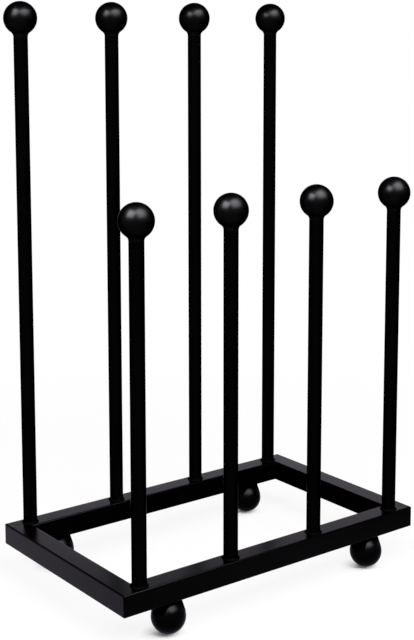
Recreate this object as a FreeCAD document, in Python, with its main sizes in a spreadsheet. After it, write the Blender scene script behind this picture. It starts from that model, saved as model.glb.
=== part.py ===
import FreeCAD, Part
import math
import os
import Sketcher
from FreeCAD import Placement, Rotation, Vector

# Boot rack for four pairs: a mitred frame of square steel tube on four ball feet carries two rows
# of round posts with ball finials. Boots hang upside down over the posts.
#
# Frame: +X runs along the rack to the right, +Y to its back and +Z up. The origin is on the floor
# below the middle of the rack.

doc = FreeCAD.newDocument("boot_rack")

# ------------------------------------------------------------------------------ driving dimensions

SIZES = (
    ("rack_length", 425.0, "outside length of the frame, along X"),
    ("rack_width", 255.0, "outside width of the frame, along Y"),
    ("rail_size", 25.0, "outside of the square tube"),
    ("rail_wall", 1.5, "wall of the square tube"),
    ("rail_corner_radius", 2.0, "outer corner radius of the square tube"),
    ("post_inset", 28.0, "from the end of the frame to the middle of the end posts"),
    ("post_diameter", 16.5, "outside of the round tube"),
    ("post_wall", 1.2, "wall of the round tube"),
    ("front_post_length", 380.0, "tube length of a front post"),
    ("rear_post_rise", 205.0, "how much longer a rear post is than a front post"),
    ("finial_diameter", 38.5, "outside of a finial ball"),
    ("finial_wall", 1.5, "wall of a finial ball"),
    ("finial_bore_clearance", 0.1, "radial gap between a post and the bore of its ball"),
    ("post_end_depth", 10.0, "from a ball's centre down to the end of its post"),
    ("foot_diameter", 38.5, "outside of a ball foot"),
    ("foot_seat_diameter", 7.0, "flat on top of a foot, where it seats on its rail"),
    ("foot_inset", 65.5, "from the end of the frame to a foot's centre"),
    ("post_weld_leg", 2.0, "leg of the fillet weld round the bottom of a post"),
    ("finial_weld_radius", 6.0, "fillet of the weld under a finial ball"),
    ("corner_weld_radius", 3.0, "fillet of the weld in an inside corner of the frame"),
    ("foot_weld_toe_diameter", 28.4, "across the two welds of a foot, at their rail"),
    ("foot_weld_root_diameter", 20.0, "between the two welds of a foot, inside them"),
)

sheet = doc.addObject("Spreadsheet::Sheet", "Sizes")
for row, (alias, size, meaning) in enumerate(SIZES, start=1):
    sheet.set("A%d" % row, meaning)
    sheet.set("B%d" % row, str(size))
    sheet.setAlias("B%d" % row, alias)
doc.recompute()

# Places and radii that several pieces share, as expressions of the sheet's sizes.
RAIL_AXIS_X = "(Sizes.rack_length - Sizes.rail_size) / 2"
RAIL_AXIS_Y = "(Sizes.rack_width - Sizes.rail_size) / 2"
FOOT_RADIUS = "(Sizes.foot_diameter / 2)"
SEAT_RADIUS = "(Sizes.foot_seat_diameter / 2)"
FOOT_TOP = "sqrt(%s ^ 2 - %s ^ 2)" % (FOOT_RADIUS, SEAT_RADIUS)
RAIL_BOTTOM_Z = "(%s + %s)" % (FOOT_RADIUS, FOOT_TOP)
RAIL_AXIS_Z = RAIL_BOTTOM_Z + " + Sizes.rail_size / 2"
RAIL_TOP_Z = RAIL_BOTTOM_Z + " + Sizes.rail_size"
RAIL_FLAT = "(Sizes.rail_size - 2 * Sizes.rail_corner_radius)"
FOOT_X = "(Sizes.rack_length / 2 - Sizes.foot_inset)"
POST_RADIUS = "(Sizes.post_diameter / 2)"
BORE_RADIUS = "(Sizes.post_diameter / 2 + Sizes.finial_bore_clearance)"
FINIAL_RADIUS = "(Sizes.finial_diameter / 2)"
FOOT_WELD_TOE = "(Sizes.foot_weld_toe_diameter / 2)"
FOOT_WELD_ROOT = "(Sizes.foot_weld_root_diameter / 2)"
POST_LENGTHS = {
    "front": "Sizes.front_post_length",
    "rear": "(Sizes.front_post_length + Sizes.rear_post_rise)",
}
POSTS_PER_ROW = 4
POST_PITCH = "(Sizes.rack_length - 2 * Sizes.post_inset) / %d" % (POSTS_PER_ROW - 1)
SIDES = {"front": -1, "rear": 1}

# Edges and points closer than this, in millimetres, count as the same.
TOUCHING = 0.01


def value(expression):
    """The present value of an expression, as a plain number."""
    return float(sheet.evalExpression(expression))


# ------------------------------------------------------------------------------ bodies and sketches


def new_body(label):
    body = doc.addObject("PartDesign::Body", label)
    body.Label = label
    body.AllowCompound = True
    return body


def place(body, x="0", y="0", z="0", turn=0):
    """Puts a body at an expression for each axis, after a turn about +Z in degrees."""
    body.Placement = Placement(Vector(), Rotation(Vector(0, 0, 1), turn))
    for axis, expression in zip("xyz", (x, y, z)):
        body.setExpression("Placement.Base." + axis, expression)


def origin_part(body, role):
    return next(part for part in body.Origin.OriginFeatures if part.Role == role)


def new_sketch(body, role, name):
    sketch = body.newObject("Sketcher::SketchObject", name)
    sketch.AttachmentSupport = [(origin_part(body, role), "")]
    sketch.MapMode = "FlatFace"
    return sketch


def new_feature(body, kind, name, **settings):
    """Adds a feature to a body. Text is bound as an expression, unless it names a choice."""
    feature = body.newObject("PartDesign::" + kind, name)
    for key, setting in settings.items():
        choice = feature.getTypeIdOfProperty(key) == "App::PropertyEnumeration"
        if isinstance(setting, str) and not choice:
            feature.setExpression(key, setting)
        else:
            setattr(feature, key, setting)
    body.Tip = feature
    return feature


def limit(sketch, kind, where, name, expression):
    """Adds a dimension to a sketch, tied to an expression of the sheet's sizes."""
    index = sketch.addConstraint(Sketcher.Constraint(kind, *where, value(expression)))
    sketch.renameConstraint(index, name)
    sketch.setExpression("Constraints." + name, expression)


def pin(sketch, edge, end, name, x=None, y=None):
    """Locates one end of an edge from the sketch's origin. A 0 puts it on that axis."""
    for kind, axis, expression in (("DistanceX", -2, x), ("DistanceY", -1, y)):
        if expression == 0:
            sketch.addConstraint(Sketcher.Constraint("PointOnObject", edge, end, axis))
        elif expression is not None:
            where = (-1, 1, edge, end)
            limit(sketch, kind, where, name + kind[-1].lower(), expression)


def line(sketch, start, finish):
    return sketch.addGeometry(Part.LineSegment(Vector(*start, 0), Vector(*finish, 0)))


def arc(sketch, centre, radius, start, finish):
    """An arc run counterclockwise between two directions from its centre, in degrees."""
    circle = Part.Circle(Vector(*centre, 0), Vector(0, 0, 1), radius)
    curve = Part.ArcOfCircle(circle, math.radians(start), math.radians(finish))
    return sketch.addGeometry(curve)


def join(sketch, *corners):
    """Makes pairs of edge ends coincide: each corner is (edge, end, edge, end)."""
    for corner in corners:
        sketch.addConstraint(Sketcher.Constraint("Coincident", *corner))


def centred_square(sketch, name, side):
    """Adds a square round the sketch's origin. side is an expression."""
    half = value(side) / 2
    points = [(-half, -half), (half, -half), (half, half), (-half, half)]
    edges = [line(sketch, points[i - 1], points[i]) for i in range(4)]
    join(sketch, *((edges[i - 1], 2, edges[i], 1) for i in range(4)))
    for edge, direction in zip(edges, ("Vertical", "Horizontal") * 2):
        sketch.addConstraint(Sketcher.Constraint(direction, edge))
    sketch.addConstraint(Sketcher.Constraint("Symmetric", edges[1], 1, edges[2], 2, -1, 1))
    sketch.addConstraint(Sketcher.Constraint("Equal", edges[0], edges[1]))
    limit(sketch, "DistanceX", (edges[1], 1, edges[1], 2), name, side)


def centred_circle(sketch, name, diameter):
    circle = Part.Circle(Vector(), Vector(0, 0, 1), value(diameter) / 2)
    edge = sketch.addGeometry(circle)
    join(sketch, (edge, 3, -1, 1))
    limit(sketch, "Diameter", (edge,), name, diameter)


def long_edges(shape, offset):
    """The edges of a tube along X whose distance from its axis is offset, both in Y and Z."""
    names = []
    for number, edge in enumerate(shape.Edges, start=1):
        box = edge.BoundBox
        corner = max(abs(abs(box.Center.y) - offset), abs(abs(box.Center.z) - offset))
        if corner < TOUCHING and max(box.YLength, box.ZLength) < TOUCHING:
            names.append("Edge%d" % number)
    return names


# ------------------------------------------------------------------------------ frame of square tube


def make_rail(label, length, x, y, turn):
    """A square tube along its own X, mitred at both ends, with its outer side at -Y."""
    body = new_body(label)
    profile = new_sketch(body, "YZ_Plane", label + "_profile")
    centred_square(profile, "outside", "Sizes.rail_size")
    centred_square(profile, "inside", "Sizes.rail_size - 2 * Sizes.rail_wall")
    tube = new_feature(
        body, "Pad", label + "_tube", Profile=profile, Midplane=True, Length=length
    )
    doc.recompute()
    half = value("Sizes.rail_size / 2")
    inner = half - value("Sizes.rail_wall")
    rounded = new_feature(
        body,
        "Fillet",
        label + "_outer_corners",
        Base=(tube, long_edges(tube.Shape, half)),
        Radius="Sizes.rail_corner_radius",
    )
    doc.recompute()
    rounded = new_feature(
        body,
        "Fillet",
        label + "_inner_corners",
        Base=(rounded, long_edges(rounded.Shape, inner)),
        Radius="max(Sizes.rail_corner_radius - Sizes.rail_wall; 0.2)",
    )
    mitre = new_sketch(body, "XY_Plane", label + "_mitre")
    end = value(length) / 2
    for side, name in ((1, "right"), (-1, "left")):
        outer = (side * end, -half)
        points = [outer, (side * end, half), (side * (end - 2 * half), half)]
        edges = [line(mitre, points[i - 1], points[i]) for i in range(3)]
        join(mitre, *((edges[i - 1], 2, edges[i], 1) for i in range(3)))
        mitre.addConstraint(Sketcher.Constraint("Vertical", edges[1]))
        mitre.addConstraint(Sketcher.Constraint("Horizontal", edges[2]))
        mitre.addConstraint(Sketcher.Constraint("Equal", edges[1], edges[2]))
        sign = "" if side > 0 else "-"
        pin(mitre, edges[1], 1, name + "_outer", sign + length + " / 2", "-Sizes.rail_size / 2")
        limit(mitre, "DistanceY", (edges[1], 1, edges[1], 2), name + "_rise", "Sizes.rail_size")
    new_feature(
        body, "Pocket", label + "_mitred", Profile=mitre, Type="ThroughAll", Midplane=True
    )
    place(body, x, y, RAIL_AXIS_Z, turn)
    return body


def make_frame():
    """Two long and two short rails meet at mitred corners and enclose the rack's open middle."""
    length = "Sizes.rack_length"
    width = "Sizes.rack_width"
    return [
        make_rail("front_rail", length, "0", "-" + RAIL_AXIS_Y, 0),
        make_rail("right_rail", width, RAIL_AXIS_X, "0", 90),
        make_rail("rear_rail", length, "0", RAIL_AXIS_Y, 180),
        make_rail("left_rail", width, "-" + RAIL_AXIS_X, "0", 270),
    ]


# ------------------------------------------------------------------------------ posts and finials


def post_x(number):
    """The place of a post along the rack, counted from its left end."""
    return "%g * %s" % (number - (POSTS_PER_ROW + 1) / 2, POST_PITCH)


def row_y(row):
    return "%d * %s" % (SIDES[row], RAIL_AXIS_Y)


def finial_z(row):
    return "%s + %s + Sizes.post_end_depth" % (RAIL_TOP_Z, POST_LENGTHS[row])


def make_post(row, number):
    """A length of round tube that stands square on the top of its rail."""
    label = "%s_post_%d" % (row, number)
    body = new_body(label)
    profile = new_sketch(body, "XY_Plane", label + "_profile")
    centred_circle(profile, "outside", "Sizes.post_diameter")
    centred_circle(profile, "inside", "Sizes.post_diameter - 2 * Sizes.post_wall")
    new_feature(body, "Pad", label + "_tube", Profile=profile, Length=POST_LENGTHS[row])
    place(body, post_x(number), row_y(row), RAIL_TOP_Z)
    return body


def make_finial(row, number):
    """A hollow ball, bored from below to take the end of its post."""
    label = "%s_finial_%d" % (row, number)
    body = new_body(label)
    profile = new_sketch(body, "XZ_Plane", label + "_profile")
    outer, bore = value(FINIAL_RADIUS), value(BORE_RADIUS)
    inner = outer - value("Sizes.finial_wall")
    mouths = [-math.sqrt(radius**2 - bore**2) for radius in (outer, inner)]
    starts = [math.degrees(math.atan2(mouth, bore)) for mouth in mouths]
    outside = arc(profile, (0, 0), outer, starts[0], 90)
    inside = arc(profile, (0, 0), inner, starts[1], 90)
    crown = line(profile, (0, outer), (0, inner))
    mouth = line(profile, (bore, mouths[1]), (bore, mouths[0]))
    join(
        profile,
        (outside, 3, -1, 1),
        (inside, 3, -1, 1),
        (outside, 2, crown, 1),
        (crown, 2, inside, 2),
        (inside, 1, mouth, 1),
        (mouth, 2, outside, 1),
    )
    profile.addConstraint(Sketcher.Constraint("Vertical", mouth))
    pin(profile, crown, 1, "top", x=0)
    pin(profile, crown, 2, "roof", x=0)
    pin(profile, mouth, 2, "bore", x=BORE_RADIUS)
    limit(profile, "Radius", (outside,), "outer_radius", FINIAL_RADIUS)
    limit(profile, "Radius", (inside,), "inner_radius", FINIAL_RADIUS + " - Sizes.finial_wall")
    new_feature(
        body, "Revolution", label + "_ball", Profile=profile, ReferenceAxis=(profile, ["V_Axis"])
    )
    place(body, post_x(number), row_y(row), finial_z(row))
    return body


# ------------------------------------------------------------------------------ ball feet


def make_foot(row, end, x_sign):
    """A solid ball with a small flat on top, where it seats on the underside of its rail."""
    label = "%s_%s_foot" % (row, end)
    body = new_body(label)
    profile = new_sketch(body, "XZ_Plane", label + "_profile")
    radius, top, seat_radius = value(FOOT_RADIUS), value(FOOT_TOP), value(SEAT_RADIUS)
    ball = arc(profile, (0, 0), radius, -90, math.degrees(math.atan2(top, seat_radius)))
    seat = line(profile, (seat_radius, top), (0, top))
    middle = line(profile, (0, top), (0, -radius))
    join(profile, (ball, 3, -1, 1), (ball, 2, seat, 1), (seat, 2, middle, 1))
    join(profile, (middle, 2, ball, 1))
    profile.addConstraint(Sketcher.Constraint("Horizontal", seat))
    pin(profile, middle, 1, "centre", x=0)
    pin(profile, middle, 2, "sole", x=0)
    pin(profile, seat, 1, "seat_", x=SEAT_RADIUS)
    limit(profile, "Radius", (ball,), "radius", FOOT_RADIUS)
    new_feature(
        body, "Revolution", label + "_ball", Profile=profile, ReferenceAxis=(profile, ["V_Axis"])
    )
    place(body, "%d * %s" % (x_sign, FOOT_X), row_y(row), FOOT_RADIUS)
    return body


# ------------------------------------------------------------------------------ welds


def mirror(body, role):
    """A mirror image in one of the body's own origin planes, for use in repeat."""
    step = body.newObject("PartDesign::Mirrored", "%s_%s" % (body.Label, role.lower()))
    step.MirrorPlane = (origin_part(body, role), [""])
    return step


def pair_along(body, role, distance):
    """A second copy at a distance along one of the body's axes, for use in repeat."""
    step = body.newObject("PartDesign::LinearPattern", "%s_%s" % (body.Label, role.lower()))
    step.Direction = (origin_part(body, role), [""])
    step.Occurrences = 2
    step.setExpression("Length", distance)
    return step


def repeat(body, originals, *steps):
    """Applies one step after another to a feature."""
    return new_feature(
        body,
        "MultiTransform",
        body.Label + "_all",
        Originals=originals,
        Transformations=list(steps),
    )


def make_post_weld(row, number):
    """The fillet weld between a post and the top of its rail, with equal legs."""
    label = "%s_post_weld_%d" % (row, number)
    body = new_body(label)
    profile = new_sketch(body, "XZ_Plane", label + "_profile")
    post, leg = value(POST_RADIUS), value("Sizes.post_weld_leg")
    root, toe, tip = (post, 0), (post + leg, 0), (post, leg)
    base = line(profile, root, toe)
    face = line(profile, toe, tip)
    wall = line(profile, tip, root)
    join(profile, (base, 2, face, 1), (face, 2, wall, 1), (wall, 2, base, 1))
    profile.addConstraint(Sketcher.Constraint("Vertical", wall))
    profile.addConstraint(Sketcher.Constraint("Equal", wall, base))
    pin(profile, base, 1, "root_", x=POST_RADIUS, y=0)
    pin(profile, base, 2, "toe", y=0)
    limit(profile, "DistanceX", (base, 1, base, 2), "leg", "Sizes.post_weld_leg")
    new_feature(
        body, "Revolution", label + "_ring", Profile=profile, ReferenceAxis=(profile, ["V_Axis"])
    )
    place(body, post_x(number), row_y(row), RAIL_TOP_Z)
    return body


def make_finial_weld(row, number):
    """The fillet weld that blends a post into the ball above it."""
    label = "%s_finial_weld_%d" % (row, number)
    body = new_body(label)
    profile = new_sketch(body, "XZ_Plane", label + "_profile")
    post, ball = value(POST_RADIUS), value(FINIAL_RADIUS)
    fillet = value("Sizes.finial_weld_radius")
    centre = (post + fillet, -math.sqrt((ball + fillet) ** 2 - (post + fillet) ** 2))
    toe = [ordinate * ball / (ball + fillet) for ordinate in centre]
    root = (post, -math.sqrt(ball**2 - post**2))
    toe_angle = math.degrees(math.atan2(toe[1], toe[0]))
    root_angle = math.degrees(math.atan2(root[1], root[0]))
    seat = arc(profile, (0, 0), ball, root_angle, toe_angle)
    bead = arc(profile, centre, fillet, 180 + toe_angle, 180)
    wall = line(profile, (post, centre[1]), root)
    join(profile, (seat, 3, -1, 1), (wall, 2, seat, 1))
    profile.addConstraint(Sketcher.Constraint("Vertical", wall))
    profile.addConstraint(Sketcher.Constraint("Tangent", seat, 2, bead, 1))
    profile.addConstraint(Sketcher.Constraint("Tangent", bead, 2, wall, 1))
    pin(profile, wall, 2, "root_", x=POST_RADIUS)
    limit(profile, "Radius", (seat,), "ball_radius", FINIAL_RADIUS)
    limit(profile, "Radius", (bead,), "fillet", "Sizes.finial_weld_radius")
    new_feature(
        body, "Revolution", label + "_ring", Profile=profile, ReferenceAxis=(profile, ["V_Axis"])
    )
    place(body, post_x(number), row_y(row), finial_z(row))
    return body


def make_corner_welds():
    """An upright fillet weld in each inside corner of the frame, over the flats of the rails."""
    label = "corner_welds"
    body = new_body(label)
    profile = new_sketch(body, "XY_Plane", label + "_profile")
    leg = value("Sizes.corner_weld_radius")
    corner_x = "Sizes.rail_size - Sizes.rack_length / 2"
    corner_y = "Sizes.rail_size - Sizes.rack_width / 2"
    x, y = value(corner_x), value(corner_y)
    along = line(profile, (x, y), (x + leg, y))
    bead = arc(profile, (x + leg, y + leg), leg, 180, 270)
    across = line(profile, (x, y + leg), (x, y))
    join(profile, (across, 2, along, 1))
    profile.addConstraint(Sketcher.Constraint("Horizontal", along))
    profile.addConstraint(Sketcher.Constraint("Vertical", across))
    profile.addConstraint(Sketcher.Constraint("Tangent", bead, 1, across, 1))
    profile.addConstraint(Sketcher.Constraint("Tangent", along, 2, bead, 2))
    pin(profile, along, 1, "corner_", x=corner_x, y=corner_y)
    limit(profile, "Radius", (bead,), "fillet", "Sizes.corner_weld_radius")
    bar = new_feature(
        body, "Pad", label + "_bead", Profile=profile, Midplane=True, Length=RAIL_FLAT
    )
    repeat(body, [bar], mirror(body, "YZ_Plane"), mirror(body, "XZ_Plane"))
    place(body, z=RAIL_AXIS_Z)
    return body


def make_foot_welds():
    """Two welds fill the wedge between each ball foot and the flat of its rail, left and right."""
    label = "foot_welds"
    body = new_body(label)
    profile = new_sketch(body, "XZ_Plane", label + "_profile")
    radius, top = value(FOOT_RADIUS), value(FOOT_TOP)
    root, toe = value(FOOT_WELD_ROOT), value(FOOT_WELD_TOE)
    touch = math.atan2(top, toe) - math.acos(radius / math.hypot(top, toe))
    tip = (radius * math.cos(touch), radius * math.sin(touch) - top)
    root_angle = math.acos(root / radius)
    seat = arc(profile, (0, -top), radius, math.degrees(touch), math.degrees(root_angle))
    wall = line(profile, (root, radius * math.sin(root_angle) - top), (root, 0))
    base = line(profile, (root, 0), (toe, 0))
    face = line(profile, (toe, 0), tip)
    join(profile, (seat, 2, wall, 1), (wall, 2, base, 1), (base, 2, face, 1))
    profile.addConstraint(Sketcher.Constraint("Vertical", wall))
    profile.addConstraint(Sketcher.Constraint("Tangent", face, 2, seat, 1))
    pin(profile, seat, 3, "ball_", x=0, y="-" + FOOT_TOP)
    limit(profile, "Radius", (seat,), "ball_radius", FOOT_RADIUS)
    pin(profile, base, 1, "root_", x=FOOT_WELD_ROOT, y=0)
    pin(profile, base, 2, "toe_", x=FOOT_WELD_TOE, y=0)
    bead = new_feature(
        body,
        "Revolution",
        label + "_bead",
        Profile=profile,
        ReferenceAxis=(profile, ["V_Axis"]),
        Midplane=True,
        Angle="2 * asin(min(1; %s / 2 / %s))" % (RAIL_FLAT, FOOT_WELD_TOE),
    )
    repeat(
        body,
        [bead],
        mirror(body, "YZ_Plane"),
        pair_along(body, "X_Axis", "2 * " + FOOT_X),
        pair_along(body, "Y_Axis", "2 * " + RAIL_AXIS_Y),
    )
    place(body, "-" + FOOT_X, "-" + RAIL_AXIS_Y, RAIL_BOTTOM_Z)
    return body


# ------------------------------------------------------------------------------ the rack

parts = make_frame()
for row in SIDES:
    for number in range(1, POSTS_PER_ROW + 1):
        for make in (make_post, make_post_weld, make_finial, make_finial_weld):
            parts.append(make(row, number))
    for end, x_sign in (("left", -1), ("right", 1)):
        parts.append(make_foot(row, end, x_sign))
parts.append(make_corner_welds())
parts.append(make_foot_welds())
doc.recompute()

for item in doc.Objects:
    if {"Invalid", "Error"} & set(item.State):
        raise RuntimeError("%s failed: %s" % (item.Label, item.State))
for part in parts:
    if part.Shape.isNull() or not part.Shape.isValid():
        raise RuntimeError("%s has no valid shape" % part.Label)

os.makedirs("parts", exist_ok=True)
for part in parts:
    part.Shape.exportStep("parts/%s.step" % part.Label)
    print("%-22s %d solid(s), %9.1f mm3" % (part.Label, len(part.Shape.Solids), part.Shape.Volume))
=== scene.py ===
import math

import bmesh
import bpy
from mathutils import Matrix, Vector


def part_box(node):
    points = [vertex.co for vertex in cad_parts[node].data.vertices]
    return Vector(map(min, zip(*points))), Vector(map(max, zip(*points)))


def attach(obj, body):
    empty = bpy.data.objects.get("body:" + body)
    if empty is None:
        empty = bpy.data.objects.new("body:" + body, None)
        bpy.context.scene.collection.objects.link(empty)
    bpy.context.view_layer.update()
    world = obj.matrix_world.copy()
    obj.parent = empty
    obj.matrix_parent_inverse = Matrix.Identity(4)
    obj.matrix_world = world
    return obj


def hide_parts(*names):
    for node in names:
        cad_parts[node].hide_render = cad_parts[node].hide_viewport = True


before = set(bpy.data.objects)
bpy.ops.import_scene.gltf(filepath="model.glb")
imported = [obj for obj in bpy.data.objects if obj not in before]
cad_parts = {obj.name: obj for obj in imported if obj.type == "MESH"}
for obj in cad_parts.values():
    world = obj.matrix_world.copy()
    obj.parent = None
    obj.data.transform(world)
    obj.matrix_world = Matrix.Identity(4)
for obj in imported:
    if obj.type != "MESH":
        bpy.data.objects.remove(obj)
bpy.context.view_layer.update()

# ------------------------------------------------------------------------------------- viewpoint
# A long lens looks at the rack's front left corner from a little above it. The lens is shifted
# down, so that the camera stays nearly level and the posts stay nearly upright.

view_azimuth = -0.6507  # radians, as are the next two
view_elevation = 0.1384
view_roll = -0.0011
view_distance = 1.5216
view_target = Vector((-0.01825, -0.01549, 0.44123))

lens = bpy.data.cameras.new("viewpoint")
lens.sensor_width = 36.0
lens.lens = 74.26
lens.shift_y = -0.175
lens.clip_start, lens.clip_end = 0.05, 100.0
camera = bpy.data.objects.new("viewpoint", lens)
bpy.context.collection.objects.link(camera)
bpy.context.scene.camera = camera


def direction(azimuth, elevation):
    """A unit vector at an azimuth from the rack's front, to its right, and at an elevation."""
    level = math.cos(elevation)
    return Vector((math.sin(azimuth) * level, -math.cos(azimuth) * level, math.sin(elevation)))


toward_camera = direction(view_azimuth, view_elevation)
camera.location = view_target + toward_camera * view_distance
camera.rotation_mode = "QUATERNION"
camera.rotation_quaternion = (-toward_camera).to_track_quat("-Z", "Y")
camera.rotation_quaternion @= Matrix.Rotation(view_roll, 4, "Z").to_quaternion()

# ---------------------------------------------------------------------------------------- rails
# Four lengths of square steel tube with small rolled corners, mitred, welded into a rectangle and
# ground flush and round at its outer corners. The whole rack then gets one baked coat of satin
# black powder with a fine orange peel. The faces inside the frame get a darker, duller copy of it,
# which paints the shade that falls inside the frame.

corner_radius = 0.002
corner_facets = 6
tube_wall = 0.0015
ground_radius = 0.002
ground_facets = 3
mitre_easing = 0.00035
easing_facets = 2
crease_angle = math.radians(35)
same_point = 1e-7  # points nearer to each other than this are one
long_edge = 0.1  # only the edges along a rail are longer than this
facing, slanting = 0.9, 0.6  # the least share of a face's normal that points along an axis

black_cast = (1.0, 0.97, 1.045)
peel_per_metre = 480.0
clouds_per_metre = 22.0
cloud_tone = 0.3
cloud_roughness = 0.08
peel_roughness = 0.05
mark_height = 0.35


class Signal:
    """A shader socket. An operator on it adds the Math node that works the sum out."""

    def __init__(self, tree, socket=None):
        self.tree, self.socket = tree, socket

    def node(self, kind, settings, sockets, output=0):
        """Adds a node, gives it its settings and then its sockets' values or links."""
        made = self.tree.nodes.new("ShaderNode" + kind)
        for name, setting in settings.items():
            setattr(made, name, setting)
        for name, given in sockets.items():
            if isinstance(given, Signal):
                self.tree.links.new(given.socket, made.inputs[name])
            else:
                made.inputs[name].default_value = given
        return Signal(self.tree, made.outputs[output]) if made.outputs else None

    def sum(self, operation, first, second):
        """Adds a Math node."""
        return self.node("Math", {"operation": operation}, {0: first, 1: second})

    def __add__(self, other):
        return self.sum("ADD", self, other)

    def __sub__(self, other):
        return self.sum("SUBTRACT", self, other)

    def __rsub__(self, other):
        return self.sum("SUBTRACT", other, self)

    def __mul__(self, other):
        return self.sum("MULTIPLY", self, other)

    __radd__ = __add__
    __rmul__ = __mul__


def cast_black(level):
    """The colour of the coat at a level. The black leans a little to violet."""
    return tuple(level * share for share in black_cast) + (1.0,)


def powder_coat(name, grain, gloss, edge, roughness=0.25, peel_depth=0.00003):
    """Satin black powder coat. grain is how often the marks of the metal repeat along each axis.
    gloss is how much the coat mirrors face-on. edge is how much of a full mirror's sheen it grows
    to at a glancing angle, which the metallic shader can hold down and a plastic one can't."""
    coat = bpy.data.materials.new(name)
    coat.use_nodes = True
    coat.node_tree.nodes.clear()
    start = Signal(coat.node_tree)
    place = start.node("TexCoord", {}, {}, "Object")
    peel = start.node("TexNoise", {}, {"Vector": place, "Scale": peel_per_metre, "Detail": 1.5})
    cloud = start.node("TexNoise", {}, {"Vector": place, "Scale": clouds_per_metre, "Detail": 3.0})
    stretched = start.node("Mapping", {}, {"Vector": place, "Scale": grain})
    marks = start.node("TexNoise", {}, {"Vector": stretched, "Scale": 1.0, "Detail": 2.0})
    dark, light = cast_black((1 - cloud_tone) * gloss), cast_black((1 + cloud_tone) * gloss)
    colour = start.node("Mix", {"data_type": "RGBA"}, {0: cloud, 6: dark, 7: light}, 2)
    height = peel + marks * mark_height
    relief = start.node("Bump", {}, {"Strength": 1.0, "Distance": peel_depth, "Height": height})
    uneven = (cloud - 0.5) * cloud_roughness + (peel - 0.5) * peel_roughness
    surface = start.node(
        "BsdfPrincipled",
        {},
        {
            "Base Color": colour,
            "Roughness": roughness + uneven,
            "Metallic": 1.0,
            "Specular Tint": cast_black(edge),
            "Normal": relief,
        },
    )
    start.node("OutputMaterial", {}, {"Surface": surface})
    return coat


def finish_piece(name, shape, coats, node):
    """Makes a piece from a bmesh, coats it, and lets it stand for its CAD node."""
    mesh = bpy.data.meshes.new(name)
    shape.to_mesh(mesh)
    shape.free()
    for coat in coats:
        mesh.materials.append(coat)
    for face in mesh.polygons:
        face.use_smooth = True
    mesh.set_sharp_from_angle(angle=crease_angle)
    piece = bpy.data.objects.new(name, mesh)
    bpy.context.collection.objects.link(piece)
    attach(piece, "root")
    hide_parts(node)
    return piece


def cut_off(rail, point, outwards):
    """Cuts off what lies beyond the plane through a point, and gives the edges of the cut."""
    everything = rail.verts[:] + rail.edges[:] + rail.faces[:]
    cut = bmesh.ops.bisect_plane(
        rail, geom=everything, dist=same_point, plane_co=point, plane_no=outwards,
        clear_outer=True,
    )
    return [part for part in cut["geom_cut"] if isinstance(part, bmesh.types.BMEdge)]


def square_tube(low, high, along):
    """A hollow tube with rolled corners and open ends, which fills a box from end to end."""
    tube = bmesh.new()
    bmesh.ops.create_cube(tube, size=1.0)
    bmesh.ops.scale(tube, vec=high - low, verts=tube.verts)
    bmesh.ops.translate(tube, vec=(high + low) / 2, verts=tube.verts)
    long_edges = [
        edge
        for edge in tube.edges
        if abs((edge.verts[0].co - edge.verts[1].co)[along]) > long_edge
    ]
    bmesh.ops.bevel(
        tube, geom=long_edges, offset=corner_radius, segments=corner_facets, profile=0.5,
        affect="EDGES", material=-1,
    )
    ends = [face for face in tube.faces if abs(face.normal[along]) > facing]
    bmesh.ops.delete(tube, geom=ends, context="FACES")
    bmesh.ops.solidify(tube, geom=tube.faces[:], thickness=tube_wall)
    return tube


def mitre_end(rail, tip, along, end, inward):
    """Saws one end of a rail across at 45 degrees from its tip, and grinds the tip round."""
    across = 1 - along
    mitre = Vector()
    mitre[along], mitre[across] = end, inward
    bmesh.ops.bridge_loops(rail, edges=cut_off(rail, tip, mitre))
    centre = tip.copy()
    centre[along] -= end * ground_radius
    centre[across] += inward * ground_radius
    for facet in range(1, ground_facets + 1):
        turn = math.radians(45) * facet / ground_facets
        ground = Vector()
        ground[along], ground[across] = end * math.sin(turn), -inward * math.cos(turn)
        cut_off(rail, centre + ground * ground_radius, ground)
        opened = [edge for edge in rail.edges if edge.is_boundary]
        bmesh.ops.holes_fill(rail, edges=opened, sides=0)


def ease_mitres(rail, middle, along, inward, outer_side):
    """Rounds the outer edges of both mitre cuts a little, beyond the tip that was ground round."""
    across = 1 - along
    cut_edges = []
    for edge in rail.edges:
        mitres = [
            face
            for face in edge.link_faces
            if abs(face.normal[along]) > slanting and face.normal[across] * inward > slanting
        ]
        sides = [face for face in edge.link_faces if face not in mitres]
        depth = ((edge.verts[0].co + edge.verts[1].co)[across] / 2 - outer_side) * inward
        if len(mitres) == 1 and len(sides) == 1 and depth > corner_radius:
            outwards = sides[0].calc_center_median() - middle
            outwards[along] = 0.0
            if sides[0].normal.dot(outwards) > 0:
                cut_edges.append(edge)
    bmesh.ops.bevel(
        rail, geom=cut_edges, offset=mitre_easing, segments=easing_facets, profile=0.5,
        affect="EDGES", material=-1,
    )


def mitred_rail(node, along, coat, inner_shade_coat):
    """A hollow rail between two mitres. The side that looks into the frame gets a darker coat, as
    painted shade.
    """
    across = 1 - along
    low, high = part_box(node)
    middle = (high + low) / 2
    inward = -1.0 if middle[across] > 0 else 1.0
    outer_side = low[across] if inward > 0 else high[across]
    rail = square_tube(low, high, along)
    for end in (-1.0, 1.0):
        tip = Vector()
        tip[along] = high[along] if end > 0 else low[along]
        tip[across] = outer_side
        mitre_end(rail, tip, along, end, inward)
    bmesh.ops.recalc_face_normals(rail, faces=rail.faces)
    ease_mitres(rail, middle, along, inward, outer_side)
    # Faces that look into the frame take the darker coat: painted shade.
    for face in rail.faces:
        if face.normal[across] * inward > facing:
            face.material_index = 1
    piece = finish_piece(node + "_tube", rail, (coat, inner_shade_coat), node)
    piece.modifiers.new("flat sides", "WEIGHTED_NORMAL").keep_sharp = True


# A darker, duller copy of the coat for the faces inside the frame, as painted shade.
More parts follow.
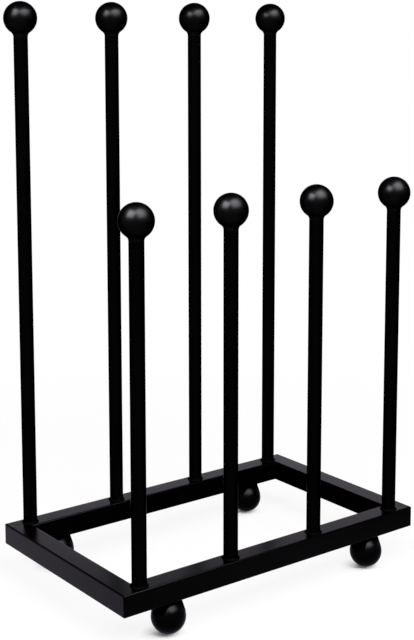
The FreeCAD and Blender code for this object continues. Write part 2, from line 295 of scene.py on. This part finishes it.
shaded_inside_coat = powder_coat(
    "coat_inside_frame_painted_shade", grain=(300.0, 300.0, 300.0), gloss=0.0005, edge=0.15, roughness=0.4
)
long_rail_coat = powder_coat(
    "coat_on_long_rails", grain=(12.0, 900.0, 900.0), gloss=0.0012, edge=0.8
)
short_rail_coat = powder_coat(
    "coat_on_short_rails", grain=(900.0, 12.0, 900.0), gloss=0.0012, edge=0.8
)
for node in ("front_rail", "rear_rail"):
    mitred_rail(node, 0, long_rail_coat, shaded_inside_coat)
for node in ("left_rail", "right_rail"):
    mitred_rail(node, 1, short_rail_coat, shaded_inside_coat)

# ---------------------------------------------------------------------------------- corner welds
# A short upright bead fills each inside corner of the frame, over the flats of the two rails. Like
# every visible weld on the rack it was laid by hand in small overlapping ripples, then coated.

corner_leg = 0.003
corner_hollow = -0.04
corner_ripple = 0.035
ripple_pitch = 0.0017
steps_per_ripple = 6
crest_lead = 0.45
slow_waves, slow_swell = 2, 0.05
quick_waves, quick_swell = 5, 0.03
taper_share = 0.12
taper_tip = 0.35
buried = 0.0003
fillet_points = 6
# Every weld gets a darker, duller copy of the coat, which paints the shade in its fillet.
shaded_weld_coat = powder_coat(
    "coat_on_welds_painted_shade", grain=(700.0, 700.0, 700.0), gloss=0.0002, edge=0.12, roughness=0.6,
    peel_depth=0.00005,
)


def fillet_outline(leg, crowning):
    """The closed outline of a fillet weld, with its hidden sides buried in the steel."""
    outline = [(-buried, -buried), (leg, -buried)]
    for i in range(fillet_points + 1):
        rise = i / fillet_points
        crown = crowning * 4 * rise * (1 - rise)
        outline.append((leg * (1 - rise + crown), leg * (rise + crown)))
    outline.append((-buried, leg))
    return outline


def weld_bead(outline, length, ripple, seed, tapered=True):
    """A bead along +X from an outline in Y, out from the joint, and Z, up. It swells and shrinks
    with every ripple, whose crest runs ahead in the middle of the face."""
    bead = bmesh.new()
    ring = [bead.verts.new((0.0, out, up)) for out, up in outline]
    for i in range(len(ring)):
        bead.edges.new((ring[i - 1], ring[i]))
    ripples = round(length / ripple_pitch)
    steps = ripples * steps_per_ripple
    bmesh.ops.spin(
        bead, geom=bead.verts[:] + bead.edges[:], cent=(0, 0, 0), axis=(1, 0, 0),
        dvec=(length / steps, 0, 0), angle=0.0, steps=steps,
    )
    for vert in bead.verts:
        travel = vert.co.x / length
        face = math.atan2(max(vert.co.z, 0.0), max(vert.co.y, 0.0))
        lead = crest_lead * math.sin(2 * face)
        swell = 1 + ripple * math.cos(math.tau * (ripples * travel - lead))
        swell += slow_swell * math.sin(math.tau * slow_waves * travel + seed)
        swell += quick_swell * math.sin(math.tau * quick_waves * travel + 2 * seed)
        if tapered:
            end = min(travel, 1 - travel) / taper_share
            swell *= taper_tip + (1 - taper_tip) * math.sin(math.pi / 2 * min(end, 1.0))
        vert.co.y *= swell
        vert.co.z *= swell
    if tapered:
        open_ends = [edge for edge in bead.edges if edge.is_boundary]
        bmesh.ops.holes_fill(bead, edges=open_ends, sides=0)
    return bead


def add_bead(welds, bead, matrix):
    """Puts a finished bead in its place in a bmesh that gathers the welds of one node."""
    bmesh.ops.transform(bead, matrix=matrix, verts=bead.verts)
    loose = bpy.data.meshes.new("bead")
    bead.to_mesh(loose)
    bead.free()
    welds.from_mesh(loose)
    bpy.data.meshes.remove(loose)


def finish_welds(name, welds, node):
    """Turns the faces of gathered beads outwards and makes them a piece."""
    bmesh.ops.recalc_face_normals(welds, faces=welds.faces)
    finish_piece(name, welds, (shaded_weld_coat,), node)


rail_low, rail_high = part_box("front_rail")
rail_size = rail_high.y - rail_low.y
inside_x = rail_high.x - rail_size
inside_y = -rail_low.y - rail_size
upright = Matrix.Rotation(math.radians(-90), 4, "Y") @ Matrix.Rotation(math.radians(90), 4, "X")
corner_welds = bmesh.new()
for quarter, (side_x, side_y) in enumerate(((-1, -1), (1, -1), (1, 1), (-1, 1))):
    outline = fillet_outline(corner_leg, corner_hollow)
    bead = weld_bead(outline, rail_size - 2 * corner_radius, corner_ripple, quarter)
    turned = Matrix.Rotation(math.radians(90 * quarter + 180), 4, "Z") @ upright
    corner = (side_x * inside_x, side_y * inside_y, rail_low.z + corner_radius)
    add_bead(corner_welds, bead, Matrix.Translation(corner) @ turned)
finish_welds("corner_weld_beads", corner_welds, "corner_welds")

# ---------------------------------------------------------------------------------------- feet
# Four solid steel balls stand below the long rails, each seated on a small flat at its top. They
# were polished before coating, so the metal has no lengthwise marks and the peel is finer.

foot_coat = powder_coat(
    "coat_on_feet", grain=(260.0, 260.0, 260.0), gloss=0.0012, edge=0.6, roughness=0.3,
    peel_depth=0.00002,
)


def coat_node(node, coat):
    """Coats a CAD node that keeps its own shape."""
    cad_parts[node].data.materials[0] = coat


feet = ("front_left_foot", "front_right_foot", "rear_left_foot", "rear_right_foot")
for foot in feet:
    coat_node(foot, foot_coat)

# ------------------------------------------------------------------------------------ foot welds
# Left and right of its seat each foot is built up to its rail with a heavy fillet weld. The weld
# tapers off to the front and back, where it would stand out from under the rail.

weld_toe = 0.0142
weld_root = 0.0095
weld_turn = math.radians(104)
foot_ripple = 0.022
foot_face_steps = 8
foot_toe_depth = 0.0006
foot_root_share = 0.25


def bend_bead(bead, radius, turn, start):
    """Bends a bead round the upright through the origin, where its joint has this radius."""
    length = max(vert.co.x for vert in bead.verts)
    for vert in bead.verts:
        angle = start + turn * vert.co.x / length
        reach = radius + vert.co.y
        vert.co.x, vert.co.y = reach * math.cos(angle), reach * math.sin(angle)
    bmesh.ops.remove_doubles(bead, verts=bead.verts, dist=same_point)


foot_welds = bmesh.new()
flip = Matrix.Diagonal((1, 1, -1, 1))
for i, foot in enumerate(feet):
    low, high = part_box(foot)
    radius, middle = (high.x - low.x) / 2, (high + low) / 2
    drop = high.z - low.z - radius
    touch = math.atan2(drop, weld_toe) - math.acos(radius / math.hypot(drop, weld_toe))
    toe_out = weld_toe - weld_root
    tip_out = radius * math.cos(touch) - weld_root
    tip_down = drop - radius * math.sin(touch)
    outline = [(0.0, -buried), (toe_out, -buried)]
    for k in range(foot_face_steps + 1):
        share = k / foot_face_steps
        outline.append((toe_out + share * (tip_out - toe_out), share * tip_down))
    outline += [(tip_out - foot_toe_depth, tip_down), (0.0, tip_down * foot_root_share)]
    for side in (0, 1):
        bead = weld_bead(outline, weld_toe * weld_turn, foot_ripple, seed=1.7 * i + side)
        bend_bead(bead, weld_root, weld_turn, -weld_turn / 2 + side * math.pi)
        add_bead(foot_welds, bead, Matrix.Translation((middle.x, middle.y, high.z)) @ flip)
finish_welds("foot_weld_beads", foot_welds, "foot_welds")

# ---------------------------------------------------------------------------------------- posts
# Eight straight lengths of round steel tube, four short ones in front and four long ones behind,
# cut square and stood on the middle of a long rail. The tube was drawn lengthwise.

post_coat = powder_coat(
    "coat_on_posts", grain=(900.0, 900.0, 12.0), gloss=0.001, edge=0.3, peel_depth=0.000012
)
posts = [(row, number) for row in ("front", "rear") for number in range(1, 5)]
for row, number in posts:
    coat_node(f"{row}_post_{number}", post_coat)

# ------------------------------------------------------------------------------------ post welds
# One bead runs round the bottom of each post, from the post's wall to the flat of its rail, and
# closes on itself. It was laid in one pass, so its ripples all lean the same way.

post_crowning = 0.06
post_ripple = 0.045

for seed, (row, number) in enumerate(posts, 1):
    node = f"{row}_post_weld_{number}"
    low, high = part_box(node)
    leg = high.z - low.z
    post_radius = (high.x - low.x) / 2 - leg
    length = math.tau * (post_radius + leg)
    bead = weld_bead(fillet_outline(leg, post_crowning), length, post_ripple, seed, tapered=False)
    bend_bead(bead, post_radius, math.tau, 0.0)
    middle = (low + high) / 2
    ring = bmesh.new()
    add_bead(ring, bead, Matrix.Translation((middle.x, middle.y, low.z)))
    finish_welds(node + "_bead", ring, node)

# ---------------------------------------------------------------------------------------- finials
# A hollow steel ball caps each post. It was pressed in two halves and polished round before
# coating, and a smoothed weld runs from under the ball on to the post.

ball_coat = powder_coat(
    "coat_on_balls", grain=(260.0, 260.0, 260.0), gloss=0.0025, edge=0.3, roughness=0.3,
    peel_depth=0.00002,
)
for row, number in posts:
    coat_node(f"{row}_finial_{number}", ball_coat)
    coat_node(f"{row}_finial_weld_{number}", ball_coat)

# ---------------------------------------------------------------------------------------- floor
# A plain white studio floor of matt paper. It carries the rack's soft shadow, darkest where the
# feet touch it, and fades into the white round it. What the coat mirrors of it is darkened to the
# right, a painted shade in those reflections.

floor_size = 12.0
paper_white = (0.85, 0.85, 0.85, 1.0)
shadow_share = 0.12
shadow_near, shadow_far = 0.35, 1.1
contact_share = 0.9
contact_shift = (0.006, 0.0, 0.0)
contact_near, contact_far = 0.005, 0.04
mirror_shade_share = 0.8
mirror_shade_reach = 0.4

bpy.ops.mesh.primitive_plane_add(size=floor_size)
floor = bpy.context.object
floor.name = "studio_floor"


def fade(start, value, first, last, from_level, to_level, smooth=True):
    """A level that goes from one value to another between two places, and stays there."""
    return start.node(
        "MapRange",
        {"interpolation_type": "SMOOTHSTEP" if smooth else "LINEAR"},
        {
            "Value": value,
            "From Min": first,
            "From Max": last,
            "To Min": from_level,
            "To Max": to_level,
        },
    )


def seen_directly(start):
    """1 for a ray that shows a thing as it looks: to the camera, mirrored, or through glass."""
    camera_ray, glossy_ray, glass_ray = (
        start.node("LightPath", {}, {}, kind)
        for kind in ("Is Camera Ray", "Is Glossy Ray", "Is Transmission Ray")
    )
    return start.sum("MAXIMUM", camera_ray, start.sum("MAXIMUM", glossy_ray, glass_ray))


paper = bpy.data.materials.new("studio_floor")
paper.use_nodes = True
paper.node_tree.nodes.clear()
start = Signal(paper.node_tree)
place = start.node("TexCoord", {}, {}, "Object")
reach = start.node("VectorMath", {"operation": "LENGTH"}, {0: place}, "Value")
near = fade(start, reach, shadow_near, shadow_far, shadow_share, 0.0)
low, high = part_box("rear_right_foot")
contact = ((low.x + high.x) / 2, (low.y + high.y) / 2, 0.0)
shifted = start.node("VectorMath", {"operation": "ADD"}, {0: place, 1: contact_shift})
folded = start.node("VectorMath", {"operation": "ABSOLUTE"}, {0: shifted})
gap = start.node("VectorMath", {"operation": "DISTANCE"}, {0: folded, 1: contact}, "Value")
under = fade(start, gap, contact_near, contact_far, 1.0, 0.0, smooth=False)
share = start.sum("MAXIMUM", near, contact_share * under * under)
rightwards = start.node("SeparateXYZ", {}, {"Vector": place}, "X")
# The floor as mirrored in the coat is darkened to the right: painted shade in its reflections.
mirror_shade = fade(start, rightwards, 0.0, mirror_shade_reach, 0.0, mirror_shade_share)
mirrored = start.node("LightPath", {}, {}, "Is Glossy Ray")
shaded = start.node("BsdfDiffuse", {}, {"Color": paper_white})
white = start.node("Emission", {}, {"Color": 1.0 - mirror_shade * mirrored, "Strength": 1.0})
surface = start.node(
    "MixShader", {}, {0: seen_directly(start) * (1.0 - share), 1: shaded, 2: white}
)
start.node("OutputMaterial", {}, {"Surface": surface})
floor.data.materials.append(paper)

# ---------------------------------------------------------------------------------------- light
# Two large soft boxes stand left and right of the camera, and two smaller ones hang close over the
# rack and show only as sheen in its coat. A white wall runs round it all under a dim ceiling.

soft_box_distance = 2.2
soft_box_elevation = math.radians(50.0)
soft_box_size = 1.5
wall_top, ceiling_edge = 0.31, 0.48  # the rise of a line of sight for its length
ceiling_level = 0.05
ambient_level = 0.25


def soft_box(name, place, aim, width, height, power, spread=180.0, sheen_only=False):
    """A soft box, aimed at a point. One for sheen alone is only seen mirrored in the coat."""
    lamp = bpy.data.lights.new(name, "AREA")
    lamp.shape = "RECTANGLE"
    lamp.size, lamp.size_y, lamp.energy = width, height, power
    lamp.spread = math.radians(spread)
    box = bpy.data.objects.new(name, lamp)
    bpy.context.collection.objects.link(box)
    box.location = place
    box.rotation_mode = "QUATERNION"
    box.rotation_quaternion = (Vector(place) - Vector(aim)).to_track_quat("Z", "Y")
    box.visible_glossy = sheen_only
    box.visible_diffuse = not sheen_only
    box.visible_camera = False


rack_middle = Vector((0.0, 0.0, 0.35))
for name, azimuth, power in (("right_key", -2.0, 62.0), ("left_fill", -80.0, 32.0)):
    toward_box = direction(math.radians(azimuth), soft_box_elevation)
    place = rack_middle + toward_box * soft_box_distance
    soft_box(name, place, rack_middle, width=soft_box_size, height=soft_box_size, power=power)
soft_box(
    "left_sheen", place=(-0.685, -0.221, 0.979), aim=(-0.03, -0.16, 0.14),
    width=0.62, height=0.55, power=28.0, spread=82.0, sheen_only=True,
)
soft_box(
    "right_sheen", place=(0.077, -0.635, 1.088), aim=(0.05, -0.1, 0.2),
    width=1.13, height=0.82, power=59.0, spread=90.0, sheen_only=True,
)

world = bpy.data.worlds.new("studio")
bpy.context.scene.world = world
world.use_nodes = True
world.node_tree.nodes.clear()
start = Signal(world.node_tree)
way = start.node("TexCoord", {}, {}, "Generated")
rise = start.node("SeparateXYZ", {}, {"Vector": way}, "Z")
above = fade(start, rise, wall_top, ceiling_edge, 1.0, ceiling_level)
brightness = ambient_level + seen_directly(start) * (above - ambient_level)
surface = start.node("Background", {}, {"Color": brightness, "Strength": 1.0})
start.node("OutputWorld", {}, {"Surface": surface})

bpy.context.scene.view_settings.view_transform = "Standard"
